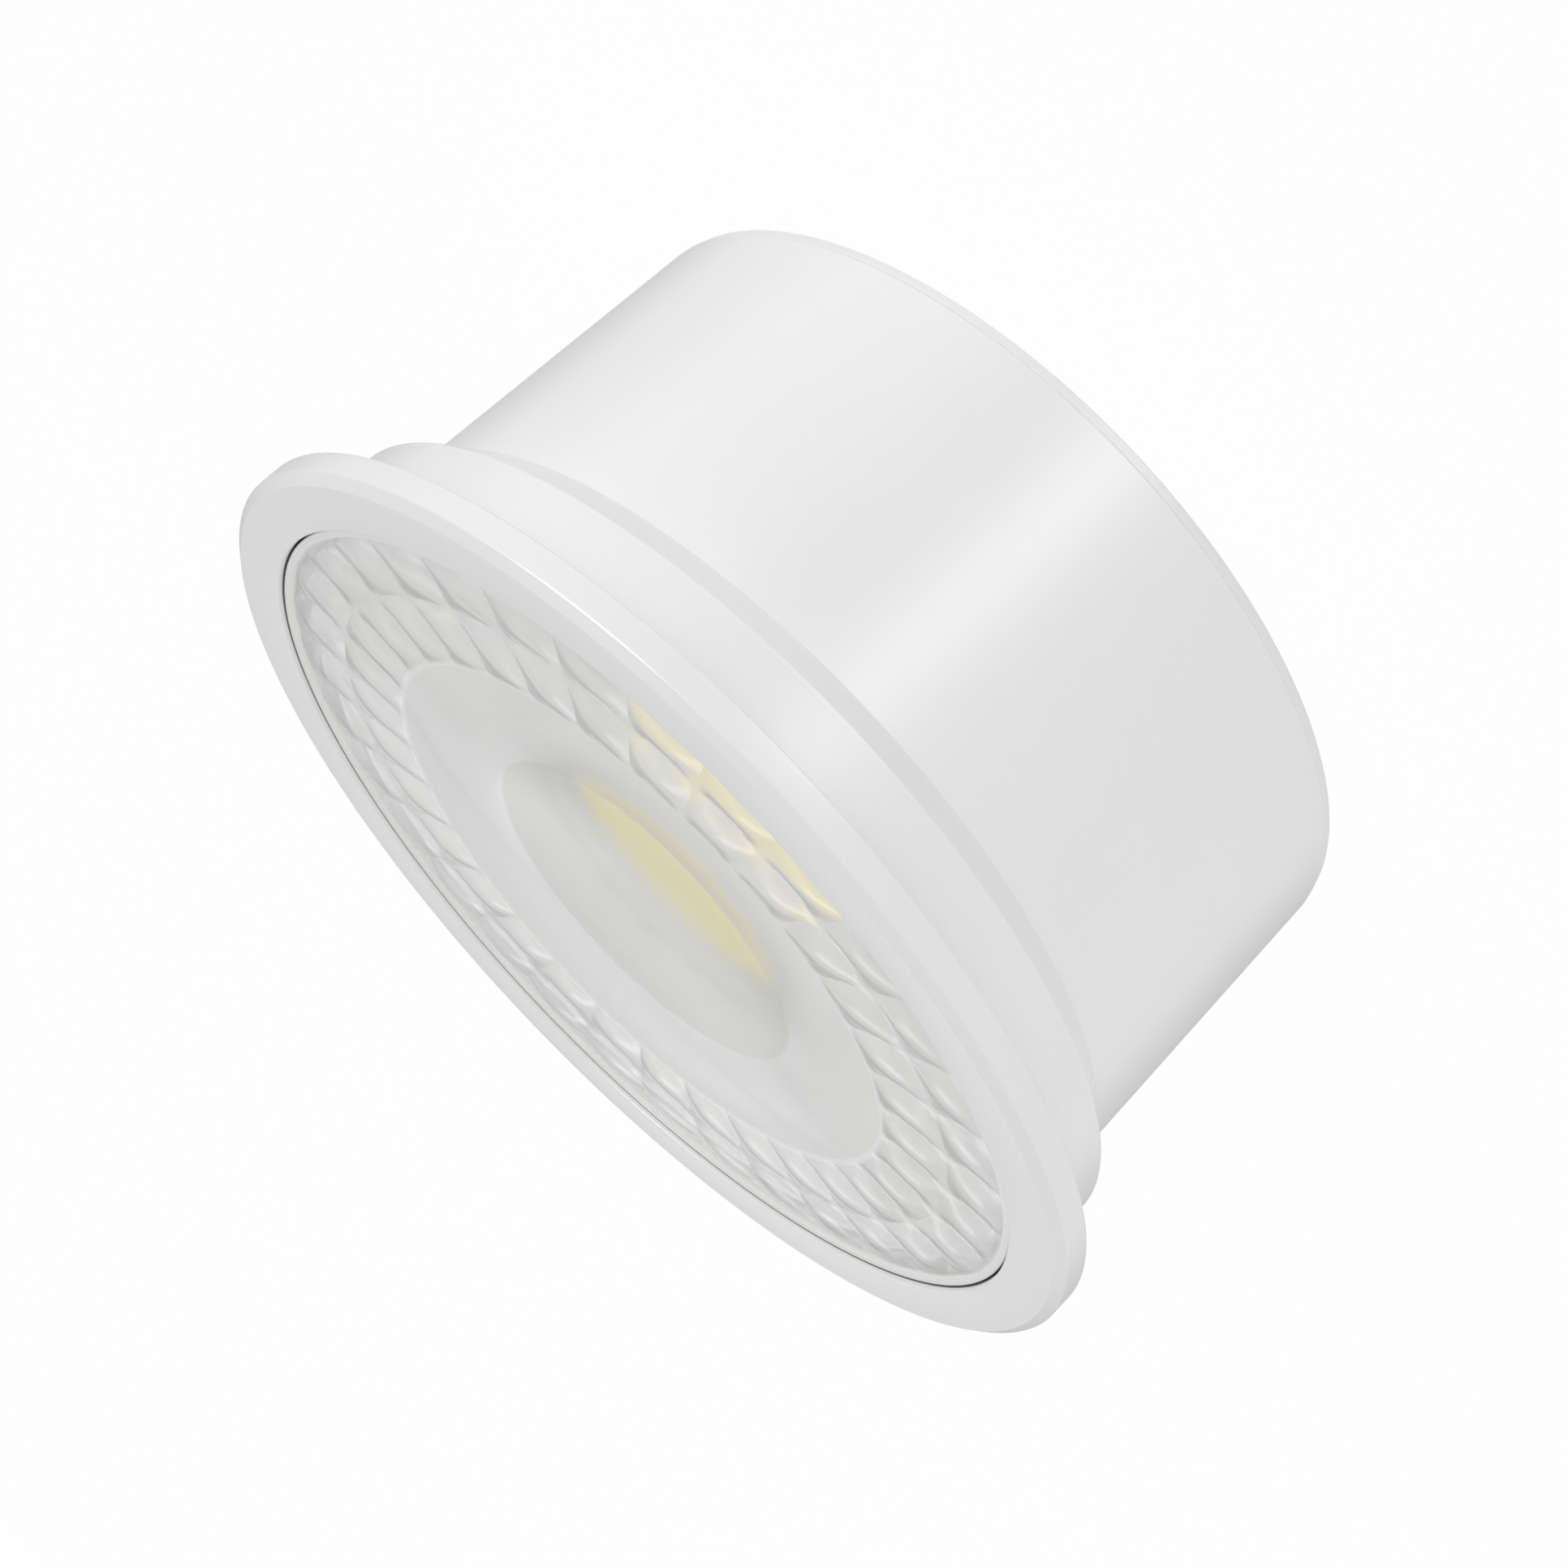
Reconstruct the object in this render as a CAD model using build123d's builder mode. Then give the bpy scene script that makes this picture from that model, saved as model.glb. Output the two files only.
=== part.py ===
from build123d import *
import os
from math import radians, tan

os.makedirs("parts", exist_ok=True)

# LED spotlight module, in millimetres
# The origin is the centre of the flat rear face, and +Z is the way the light leaves.

# Overall form
overall_depth = 23.25
flange_dia = 50.0
flange_thick = 1.7
flange_edge_in = 0.5
flange_edge_drop = 0.4
flange_back_round = 0.15
flange_overhang = 2.2
collar_length = 3.45
body_step = 1.6
body_draft_deg = 1.5

# Housing inside
body_wall = 1.7
collar_wall = 0.7
ledge_width = 1.3
ledge_thick = 1.2

# Lens
lens_edge_clear = 0.2
lens_recess = 0.28
lens_seat_depth = 4.05
lens_rim_thick = 2.0
lens_skirt_width = 1.0
lens_lug_count = 3
lens_lug_out = 0.35
lens_lug_height = 0.6
lens_lug_span_deg = 14.0
lens_lug_lift = 0.6
facet_count = 32
lens_border = 0.3
facet_outer_width = 3.3
facet_inner_width = 3.7
facet_radius = 11.5
facet_base_drop = 0.75
ring_outer_drop = 0.55
dish_dia = 17.5
dish_edge_drop = 0.95
dish_centre_drop = 2.0
flank_gap = 1.1
flank_bulge = 0.21
foot_outer_dia = 20.0
foot_drop = 8.25
cavity_mouth_dia = 15.6
cavity_roof_dia = 15.0
cavity_depth = 1.8
cavity_dome = 0.1

# LED board and what it carries
foot_gap = 0.5
led_board_gap = 0.7
led_board_thick = 1.0
dam_outer_dia = 15.4
dam_inner_dia = 14.0
dam_height = 0.45
phosphor_clear = 0.03
phosphor_height = 0.4
board_screw_count = 3
board_screw_inset = 3.0
board_screw_dia = 2.4
board_screw_head_dia = 4.0
board_screw_head_height = 1.2
board_screw_grip = 1.8
board_screw_slot_width = 0.7
board_screw_slot_depth = 0.5
screw_clear = 0.1

# Heat sink
thermal_pad_inset = 1.0
thermal_pad_thick = 0.3
heat_sink_plate = 2.0
heat_sink_wall = 1.25
heat_sink_clear = 0.15

# Driver tray and driver board
tray_clear = 0.2
tray_wall = 0.8
tray_roof = 0.8
tray_step_width = 0.8
driver_board_clear = 0.1
driver_board_thick = 1.0
post_height = 0.7
post_dia = 2.4
post_inset = 3.0
post_count = 3

# Link pins between the two boards
pin_dia = 0.9
pin_pitch = 2.54
pin_row_y = 10.5
pin_clear = 0.1
pin_stand_out = 0.4
sleeve_wall = 0.9
sleeve_drop = 0.6
sleeve_clear = 0.1

# Rear cover and cable inlet
cover_edge = 0.55
cover_edge_in = 0.15
cover_plate = 1.5
spigot_clear = 0.1
spigot_height = 3.5
barb_count = 4
barb_out = 0.25
barb_height = 0.7
barb_span_deg = 12.0
barb_base = 2.2
snap_clear = 0.1
bush_bore_dia = 5.4
bush_wall = 0.6
bush_flange_out = 1.6
bush_flange_thick = 0.7
bush_collar_out = 0.9
bush_collar_thick = 0.55
bush_stand_out = 1.0
bush_clear = 0.1

# Radii and heights worked out from the sizes above
flange_r = flange_dia / 2
collar_r = flange_r - flange_overhang
body_front_r = collar_r - body_step
bore_r = body_front_r - body_wall
lens_bore_r = collar_r - collar_wall
lens_r = lens_bore_r - lens_edge_clear
flange_back = overall_depth - flange_thick
collar_back = flange_back - collar_length
cone_back = collar_back - body_step
body_rear_r = body_front_r - (cone_back - cover_edge) * tan(radians(body_draft_deg))
lens_seat = overall_depth - lens_seat_depth
foot_z = overall_depth - foot_drop
led_board_top = foot_z - foot_gap
led_board_bottom = led_board_top - led_board_thick
led_board_r = bore_r - ledge_width - led_board_gap
board_screw_r = led_board_r - board_screw_inset
heat_sink_top = led_board_bottom - thermal_pad_thick
heat_sink_bottom = heat_sink_top - heat_sink_plate
heat_sink_r = bore_r - heat_sink_clear
skirt_inner_r = heat_sink_r - heat_sink_wall
tray_r = skirt_inner_r - tray_clear
tray_inner_r = tray_r - tray_wall
tray_step_r = tray_inner_r - tray_step_width
driver_board_bottom = cover_plate + post_height
driver_board_top = driver_board_bottom + driver_board_thick
driver_board_r = tray_inner_r - driver_board_clear
facet_top = overall_depth - lens_recess
facet_base = overall_depth - facet_base_drop
facet_outer_r = lens_r - lens_border
facet_split_r = facet_outer_r - facet_outer_width
facet_inner_r = facet_split_r - facet_inner_width
bush_neck_r = bush_bore_dia / 2 + bush_wall
bush_flange_r = bush_neck_r + bush_flange_out
bush_collar_r = bush_neck_r + bush_collar_out
cover_hole_r = bush_neck_r + bush_clear


# One arc of a ring, standing between two heights
def ring_sector(inner, outer, bottom, top, span_deg):
    with BuildPart() as sector:
        with BuildSketch(Plane.XY.offset(bottom)):
            with BuildLine():
                inside = CenterArc((0, 0), inner, -span_deg / 2, span_deg)
                outside = CenterArc((0, 0), outer, -span_deg / 2, span_deg)
                Line(inside @ 0, outside @ 0)
                Line(inside @ 1, outside @ 1)
            make_face()
        extrude(amount=top - bottom)
    return sector.part


# Housing: flange, collar, cone and drafted body in one moulding, with the lens pocket and an inner ledge
with BuildPart() as housing:
    with BuildSketch(Plane.XZ):
        with BuildLine():
            Polyline(
                (bore_r, cover_edge),
                (body_rear_r, cover_edge),
                (body_front_r, cone_back),
                (collar_r, collar_back),
                (collar_r, flange_back),
                (flange_r, flange_back),
                (flange_r, overall_depth - flange_edge_drop),
                (flange_r - flange_edge_in, overall_depth),
                (lens_bore_r, overall_depth),
                (lens_bore_r, lens_seat),
                (bore_r, lens_seat),
                (bore_r, heat_sink_top + ledge_thick),
                (bore_r - ledge_width, heat_sink_top + ledge_thick),
                (bore_r - ledge_width, heat_sink_top),
                (bore_r, heat_sink_top),
                close=True,
            )
        make_face()
    revolve(axis=Axis.Z)
    flange_rims = housing.edges().filter_by(GeomType.CIRCLE).filter_by(lambda e: e.radius > flange_r - 0.01)
    fillet(flange_rims.sort_by(Axis.Z)[0], flange_back_round)
    # Groove that the lens lugs click into
    lug_groove_bottom = lens_seat + lens_lug_lift - snap_clear
    with BuildSketch(Plane.XY.offset(lug_groove_bottom)):
        Circle(lens_r + lens_lug_out + snap_clear)
        Circle(lens_bore_r, mode=Mode.SUBTRACT)
    extrude(amount=lens_lug_height + 2 * snap_clear, mode=Mode.SUBTRACT)
    # Groove that the rear cover's barbs click into
    with BuildSketch(Plane.XY.offset(barb_base - snap_clear)):
        Circle(bore_r - spigot_clear + barb_out + snap_clear)
        Circle(bore_r, mode=Mode.SUBTRACT)
    extrude(amount=barb_height + 2 * snap_clear, mode=Mode.SUBTRACT)


# Pillow facet: one cell of the polar grid, capped by a sphere
def pillow(inner, outer):
    half_angle = 180 / facet_count
    with BuildPart() as cell:
        with BuildSketch(Plane.XY.offset(facet_base)):
            with BuildLine():
                inside = CenterArc((0, 0), inner, -half_angle, 2 * half_angle)
                outside = CenterArc((0, 0), outer, -half_angle, 2 * half_angle)
                Line(inside @ 0, outside @ 0)
                Line(inside @ 1, outside @ 1)
            make_face()
        extrude(amount=facet_radius)
        with Locations(((inner + outer) / 2, 0, facet_top - facet_radius)):
            Sphere(facet_radius, mode=Mode.INTERSECT)
    return cell.part


inner_pillow = pillow(facet_inner_r, facet_split_r)
outer_pillow = pillow(facet_split_r, facet_outer_r)

# Lens: dished centre, smooth ring and two rings of pillow facets over a collimating underside
with BuildPart() as lens:
    rim_bottom = facet_top - lens_rim_thick
    skirt_inner = lens_r - lens_skirt_width
    dish_edge = (dish_dia / 2, overall_depth - dish_edge_drop)
    dish_centre = (0, overall_depth - dish_centre_drop)
    ring_edge = (facet_inner_r, overall_depth - ring_outer_drop)
    flank_top = (skirt_inner - flank_gap, rim_bottom)
    flank_foot = (foot_outer_dia / 2, foot_z)
    cavity_mouth = (cavity_mouth_dia / 2, foot_z)
    cavity_roof = (cavity_roof_dia / 2, foot_z + cavity_depth)
    with BuildSketch(Plane.XZ):
        with BuildLine():
            TangentArc(dish_centre, dish_edge, tangent=(1, 0))
            TangentArc(ring_edge, dish_edge, tangent=(-1, 0))
            Polyline(
                ring_edge,
                (facet_inner_r, facet_base),
                (facet_outer_r, facet_base),
                (facet_outer_r, facet_top),
                (lens_r, facet_top),
                (lens_r, lens_seat),
                (skirt_inner, lens_seat),
                (skirt_inner, rim_bottom),
                flank_top,
            )
            SagittaArc(flank_top, flank_foot, flank_bulge)
            Polyline(flank_foot, cavity_mouth, cavity_roof)
            TangentArc((0, foot_z + cavity_depth - cavity_dome), cavity_roof, tangent=(1, 0))
            Line((0, foot_z + cavity_depth - cavity_dome), dish_centre)
        make_face()
    revolve(axis=Axis.Z)
    with PolarLocations(0, facet_count, start_angle=180 / facet_count):
        add(inner_pillow)
        add(outer_pillow)
    lug_bottom = lens_seat + lens_lug_lift
    lug = ring_sector(
        lens_r - lens_skirt_width / 2, lens_r + lens_lug_out, lug_bottom,
        lug_bottom + lens_lug_height, lens_lug_span_deg,
    )
    with PolarLocations(0, lens_lug_count, start_angle=90):
        add(lug)


# LED board: aluminium-core disc with its screw holes and pin holes
with BuildPart() as led_board:
    with BuildSketch(Plane.XY.offset(led_board_bottom)):
        Circle(led_board_r)
        with PolarLocations(board_screw_r, board_screw_count, start_angle=-90):
            Circle(board_screw_dia / 2 + screw_clear, mode=Mode.SUBTRACT)
        with Locations((0, pin_row_y)):
            with GridLocations(pin_pitch, 0, 2, 1):
                Circle(pin_dia / 2 + pin_clear, mode=Mode.SUBTRACT)
    extrude(amount=led_board_thick)

# Emitter: white dam ring and the phosphor disc inside it
with BuildPart() as emitter_dam:
    with BuildSketch(Plane.XY.offset(led_board_top)):
        Circle(dam_outer_dia / 2)
        Circle(dam_inner_dia / 2, mode=Mode.SUBTRACT)
    extrude(amount=dam_height)
    chamfer(emitter_dam.faces().sort_by(Axis.Z)[-1].edges(), dam_height / 3)

with BuildPart() as emitter_phosphor:
    with BuildSketch(Plane.XY.offset(led_board_top)):
        Circle(dam_inner_dia / 2 - phosphor_clear)
    extrude(amount=phosphor_height)

# Thermal pad: clears the screws and the pin sleeve
sleeve_width = pin_dia + 2 * pin_clear + 2 * sleeve_wall
sleeve_length = sleeve_width + pin_pitch
with BuildPart() as thermal_pad:
    with BuildSketch(Plane.XY.offset(heat_sink_top)):
        Circle(led_board_r - thermal_pad_inset)
        with PolarLocations(board_screw_r, board_screw_count, start_angle=-90):
            Circle(board_screw_dia / 2 + 2 * screw_clear, mode=Mode.SUBTRACT)
        with Locations((0, pin_row_y)):
            SlotOverall(sleeve_length + 2 * sleeve_clear, sleeve_width + 2 * sleeve_clear, mode=Mode.SUBTRACT)
    extrude(amount=thermal_pad_thick)

# Heat sink: plate and skirt turned from aluminium, with tapped holes for the board screws
with BuildPart() as heat_sink:
    with BuildSketch(Plane.XY.offset(spigot_height)):
        Circle(heat_sink_r)
    extrude(amount=heat_sink_top - spigot_height)
    with BuildSketch(Plane.XY.offset(spigot_height)):
        Circle(skirt_inner_r)
    extrude(amount=heat_sink_bottom - spigot_height, mode=Mode.SUBTRACT)
    with BuildSketch(Plane.XY.offset(heat_sink_bottom)):
        with PolarLocations(board_screw_r, board_screw_count, start_angle=-90):
            Circle(board_screw_dia / 2 + screw_clear / 2)
        with Locations((0, pin_row_y)):
            SlotOverall(sleeve_length + 2 * sleeve_clear, sleeve_width + 2 * sleeve_clear)
    extrude(amount=heat_sink_plate, mode=Mode.SUBTRACT)

# LED board screws: pan heads with a driver slot
with BuildPart() as led_board_screws:
    shank_length = led_board_thick + thermal_pad_thick + board_screw_grip
    with BuildSketch(Plane.XY.offset(led_board_top - shank_length)):
        with PolarLocations(board_screw_r, board_screw_count, start_angle=-90):
            Circle(board_screw_dia / 2)
    extrude(amount=shank_length)
    with BuildSketch(Plane.XY.offset(led_board_top)):
        with PolarLocations(board_screw_r, board_screw_count, start_angle=-90):
            Circle(board_screw_head_dia / 2)
    extrude(amount=board_screw_head_height)
    head_tops = led_board_screws.faces().filter_by(Axis.Z).group_by(Axis.Z)[-1]
    chamfer(head_tops.edges(), board_screw_head_height / 3)
    with BuildSketch(Plane.XY.offset(led_board_top + board_screw_head_height)):
        with PolarLocations(board_screw_r, board_screw_count, start_angle=-90):
            Rectangle(board_screw_head_dia, board_screw_slot_width)
    extrude(amount=-board_screw_slot_depth, mode=Mode.SUBTRACT)

# Driver tray: insulating cup under the heat sink plate, with a step that holds the driver board down
with BuildPart() as driver_tray:
    tray_roof_bottom = heat_sink_bottom - tray_roof
    with BuildSketch(Plane.XZ):
        with BuildLine():
            Polyline(
                (0, heat_sink_bottom),
                (tray_r, heat_sink_bottom),
                (tray_r, cover_plate),
                (tray_inner_r, cover_plate),
                (tray_inner_r, driver_board_top),
                (tray_step_r, driver_board_top),
                (tray_step_r, tray_roof_bottom),
                (0, tray_roof_bottom),
                close=True,
            )
        make_face()
    revolve(axis=Axis.Z)
    with BuildSketch(Plane.XY.offset(tray_roof_bottom)):
        with Locations((0, pin_row_y)):
            SlotOverall(sleeve_length + 2 * sleeve_clear, sleeve_width + 2 * sleeve_clear)
    extrude(amount=tray_roof, mode=Mode.SUBTRACT)

# Pin sleeve: oblong bush with a flange under the tray roof
with BuildPart() as pin_sleeve:
    with BuildSketch(Plane.XY.offset(tray_roof_bottom)):
        with Locations((0, pin_row_y)):
            SlotOverall(sleeve_length, sleeve_width)
    extrude(amount=led_board_bottom - tray_roof_bottom)
    with BuildSketch(Plane.XY.offset(tray_roof_bottom)):
        with Locations((0, pin_row_y)):
            SlotOverall(sleeve_length + 2 * sleeve_wall, sleeve_width + 2 * sleeve_wall)
    extrude(amount=-sleeve_drop)
    with BuildSketch(Plane.XY.offset(tray_roof_bottom - sleeve_drop)):
        with Locations((0, pin_row_y)):
            with GridLocations(pin_pitch, 0, 2, 1):
                Circle(pin_dia / 2 + pin_clear)
    extrude(amount=led_board_bottom - tray_roof_bottom + sleeve_drop, mode=Mode.SUBTRACT)

# Link pins: carry the driver's output up to the LED board
with BuildPart() as link_pins:
    pin_bottom = driver_board_bottom - pin_stand_out / 2
    with BuildSketch(Plane.XY.offset(pin_bottom)):
        with Locations((0, pin_row_y)):
            with GridLocations(pin_pitch, 0, 2, 1):
                Circle(pin_dia / 2)
    extrude(amount=led_board_top + pin_stand_out - pin_bottom)
    chamfer(link_pins.faces().filter_by(Axis.Z).edges(), pin_dia / 6)

# Driver board: clears the cable bush and the pins
with BuildPart() as driver_board:
    with BuildSketch(Plane.XY.offset(driver_board_bottom)):
        Circle(driver_board_r)
        Circle(bush_neck_r + 3 * bush_clear, mode=Mode.SUBTRACT)
        with Locations((0, pin_row_y)):
            with GridLocations(pin_pitch, 0, 2, 1):
                Circle(pin_dia / 2 + pin_clear, mode=Mode.SUBTRACT)
    extrude(amount=driver_board_thick)

# Rear cover: flush lid with a snap spigot, board posts and the recessed cable hole
with BuildPart() as rear_cover:
    spigot_r = bore_r - spigot_clear
    recess_r = bush_flange_r + bush_clear
    with BuildSketch(Plane.XZ):
        with BuildLine():
            Polyline(
                (recess_r, 0),
                (body_rear_r - cover_edge_in, 0),
                (body_rear_r, cover_edge),
                (spigot_r, cover_edge),
                (spigot_r, spigot_height),
                (skirt_inner_r, spigot_height),
                (skirt_inner_r, cover_plate),
                (cover_hole_r, cover_plate),
                (cover_hole_r, bush_flange_thick),
                (recess_r, bush_flange_thick),
                close=True,
            )
        make_face()
    revolve(axis=Axis.Z)
    barb = ring_sector(
        skirt_inner_r, spigot_r + barb_out, barb_base, barb_base + barb_height, barb_span_deg,
    )
    with PolarLocations(0, barb_count, start_angle=45):
        add(barb)
    with BuildSketch(Plane.XY.offset(cover_plate)):
        with PolarLocations(driver_board_r - post_inset, post_count, start_angle=30):
            Circle(post_dia / 2)
    extrude(amount=post_height)

# Cable bush: rubber inlet held in the cover's hole, with a sleeve through the driver board
with BuildPart() as cable_bush:
    bush_top = driver_board_top + bush_stand_out
    with BuildSketch(Plane.XZ):
        with BuildLine():
            Polyline(
                (bush_bore_dia / 2, 0),
                (bush_flange_r, 0),
                (bush_flange_r, bush_flange_thick),
                (bush_neck_r, bush_flange_thick),
                (bush_neck_r, cover_plate),
                (bush_collar_r, cover_plate),
                (bush_collar_r, cover_plate + bush_collar_thick),
                (bush_neck_r, cover_plate + bush_collar_thick),
                (bush_neck_r, bush_top),
                (bush_bore_dia / 2, bush_top),
                close=True,
            )
        make_face()
    revolve(axis=Axis.Z)

# Parts on the driver board: size and place on the board of each
rectifier_size = (4.7, 3.9, 2.4)
rectifier_at = (3.4, -7.2)
chip_size = (4.9, 3.9, 1.5)
chip_at = (-4.2, 7.2)
diode_size = (4.3, 2.6, 2.2)
diode_at = (6.6, 10.0)
leg_size = (0.4, 1.0, 0.5)
resistor_size = (3.2, 1.6, 0.6)
resistor_at = (-8.7, 9.0)
resistor_pitch = 2.2
chip_capacitor_size = (3.2, 1.6, 1.4)
chip_capacitor_at = (8.6, -9.6)
chip_capacitor_pitch = 2.4
film_size = (4.0, 10.0, 6.5)
film_at = (7.1, 0.0)
film_round = 0.4
electrolytic_dia = 6.3
electrolytic_length = 10.0
electrolytic_inset = 6.4
electrolytic_groove = 0.35
inductor_dia = 6.0
inductor_waist_dia = 3.0
inductor_height = 6.2
inductor_flange = 1.0
inductor_inset = 4.5
winding_clear = 0.1
varistor_dia = 5.6
varistor_thick = 2.4
varistor_lift = 0.6
varistor_at = (-4.6, -10.6)
fuse_dia = 2.4
fuse_length = 6.0
fuse_lift = 0.4
fuse_at = (4.4, -13.0)
wire_dia = 0.5
wire_reach = 0.9


# Moulded package with a row of flat legs along two sides, standing on the board
def leaded_package(size, at, legs, pitch):
    length, width, height = size
    leg_width, leg_length, leg_height = leg_size
    with BuildPart() as package:
        with Locations((at[0], at[1], driver_board_top)):
            Box(length, width, height, align=(Align.CENTER, Align.CENTER, Align.MIN))
            with GridLocations(pitch, width + leg_length, legs, 2):
                Box(leg_width, leg_length, leg_height, align=(Align.CENTER, Align.CENTER, Align.MIN))
        chamfer(package.faces().sort_by(Axis.Z)[-1].edges(), height / 8)
    return package.part


# Row of plain blocks on the board, one for each chip part
def chip_row(size, at, pitch, count):
    length, width, height = size
    with BuildPart() as row:
        with Locations((at[0], at[1], driver_board_top)):
            with GridLocations(0, pitch, 1, count):
                Box(length, width, height, align=(Align.CENTER, Align.CENTER, Align.MIN))
    return row.part


bridge_rectifier = leaded_package(rectifier_size, rectifier_at, 2, rectifier_size[0] / 2)
driver_chip = leaded_package(chip_size, chip_at, 4, chip_size[0] / 4)
output_diode = leaded_package(diode_size, diode_at, 1, 0)
sense_resistors = chip_row(resistor_size, resistor_at, resistor_pitch, 3)
chip_capacitors = chip_row(chip_capacitor_size, chip_capacitor_at, chip_capacitor_pitch, 2)

# Film capacitor: a boxed block with rounded upright edges
with BuildPart() as film_capacitor:
    with BuildSketch(Plane.XY.offset(driver_board_top)):
        with Locations(film_at):
            RectangleRounded(film_size[0], film_size[1], film_round)
    extrude(amount=film_size[2])

# Electrolytic capacitor: an aluminium can lying on the board, with its crimp groove
with BuildPart() as electrolytic_capacitor:
    can_r = electrolytic_dia / 2
    can_plane = Plane(
        origin=(electrolytic_inset - driver_board_r, -electrolytic_length / 2, driver_board_top + can_r),
        z_dir=(0, 1, 0),
    )
    with BuildSketch(can_plane):
        Circle(can_r)
    extrude(amount=electrolytic_length)
    chamfer(electrolytic_capacitor.faces().filter_by(Axis.Y).edges(), electrolytic_groove)
    with BuildSketch(can_plane.offset(electrolytic_dia / 4)):
        Circle(can_r)
        Circle(can_r - electrolytic_groove, mode=Mode.SUBTRACT)
    extrude(amount=2 * electrolytic_groove, mode=Mode.SUBTRACT)

# Inductor: a ferrite drum and the copper winding in its waist
inductor_plane = Plane(origin=(driver_board_r - inductor_inset, 0, driver_board_top))
with BuildPart() as inductor_core:
    with BuildSketch(inductor_plane):
        Circle(inductor_dia / 2)
    extrude(amount=inductor_height)
    with BuildSketch(inductor_plane.offset(inductor_flange)):
        Circle(inductor_dia / 2)
        Circle(inductor_waist_dia / 2, mode=Mode.SUBTRACT)
    extrude(amount=inductor_height - 2 * inductor_flange, mode=Mode.SUBTRACT)

with BuildPart() as inductor_winding:
    with BuildSketch(inductor_plane.offset(inductor_flange)):
        Circle(inductor_dia / 2 - winding_clear)
        Circle(inductor_waist_dia / 2 + winding_clear, mode=Mode.SUBTRACT)
    extrude(amount=inductor_height - 2 * inductor_flange)

# Varistor: a coated disc standing on two wires
with BuildPart() as varistor:
    disc_r = varistor_dia / 2
    disc_centre = driver_board_top + varistor_lift + disc_r
    disc_plane = Plane(
        origin=(varistor_at[0], varistor_at[1] - varistor_thick / 2, disc_centre), z_dir=(0, 1, 0)
    )
    with BuildSketch(disc_plane):
        Circle(disc_r)
    extrude(amount=varistor_thick)
    chamfer(varistor.faces().filter_by(Axis.Y).edges(), varistor_thick / 4)
    with BuildSketch(Plane.XY.offset(driver_board_top)):
        with Locations(varistor_at):
            with GridLocations(disc_r, 0, 2, 1):
                Circle(wire_dia / 2)
    extrude(amount=varistor_lift + disc_r)

# Input fuse: a fusible resistor lying above the board on its two bent wires
with BuildPart() as input_fuse:
    fuse_axis_z = driver_board_top + fuse_lift + fuse_dia / 2
    wire_span = fuse_length + 2 * wire_reach
    with BuildSketch(Plane(origin=(fuse_at[0] - fuse_length / 2, fuse_at[1], fuse_axis_z), z_dir=(1, 0, 0))):
        Circle(fuse_dia / 2)
    extrude(amount=fuse_length)
    chamfer(input_fuse.faces().filter_by(Axis.X).edges(), fuse_dia / 5)
    with BuildLine() as wire_path:
        FilletPolyline(
            (fuse_at[0] - wire_span / 2, fuse_at[1], driver_board_top),
            (fuse_at[0] - wire_span / 2, fuse_at[1], fuse_axis_z),
            (fuse_at[0] + wire_span / 2, fuse_at[1], fuse_axis_z),
            (fuse_at[0] + wire_span / 2, fuse_at[1], driver_board_top),
            radius=wire_dia,
        )
    with BuildSketch(Plane(origin=wire_path.line @ 0, z_dir=wire_path.line % 0)):
        Circle(wire_dia / 2)
    sweep(path=wire_path.line)

pieces = {
    "housing": housing.part,
    "lens": lens.part,
    "led_board": led_board.part,
    "emitter_dam": emitter_dam.part,
    "emitter_phosphor": emitter_phosphor.part,
    "led_board_screws": led_board_screws.part,
    "thermal_pad": thermal_pad.part,
    "heat_sink": heat_sink.part,
    "driver_tray": driver_tray.part,
    "pin_sleeve": pin_sleeve.part,
    "link_pins": link_pins.part,
    "driver_board": driver_board.part,
    "rear_cover": rear_cover.part,
    "cable_bush": cable_bush.part,
    "bridge_rectifier": bridge_rectifier,
    "driver_chip": driver_chip,
    "output_diode": output_diode,
    "sense_resistors": sense_resistors,
    "chip_capacitors": chip_capacitors,
    "film_capacitor": film_capacitor.part,
    "electrolytic_capacitor": electrolytic_capacitor.part,
    "inductor_core": inductor_core.part,
    "inductor_winding": inductor_winding.part,
    "varistor": varistor.part,
    "input_fuse": input_fuse.part,
}
for name, piece in pieces.items():
    piece.label = name
    export_step(piece, f"parts/{name}.step")
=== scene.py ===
from math import cos, pi, radians, sin

import bpy
import numpy as np
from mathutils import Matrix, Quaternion, Vector


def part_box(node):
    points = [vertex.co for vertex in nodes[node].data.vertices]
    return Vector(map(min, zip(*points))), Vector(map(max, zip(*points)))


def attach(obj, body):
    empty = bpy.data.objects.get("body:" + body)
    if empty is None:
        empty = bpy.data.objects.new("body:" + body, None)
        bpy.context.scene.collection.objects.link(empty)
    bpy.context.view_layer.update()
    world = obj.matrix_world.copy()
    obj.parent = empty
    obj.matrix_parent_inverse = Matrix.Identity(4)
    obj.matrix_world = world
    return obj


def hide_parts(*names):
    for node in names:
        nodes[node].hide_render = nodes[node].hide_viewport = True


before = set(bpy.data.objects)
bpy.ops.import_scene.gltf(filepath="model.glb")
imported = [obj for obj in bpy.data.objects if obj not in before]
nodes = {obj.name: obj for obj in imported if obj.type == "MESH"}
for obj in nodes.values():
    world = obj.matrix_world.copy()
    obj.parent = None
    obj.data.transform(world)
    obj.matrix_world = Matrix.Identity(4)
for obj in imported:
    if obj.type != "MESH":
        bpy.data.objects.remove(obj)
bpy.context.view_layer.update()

mm = 0.001
scene = bpy.context.scene


def frameMm(metres):
    # a length from the frame in millimetres, to the micrometre
    return round(metres / mm, 3)


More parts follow.
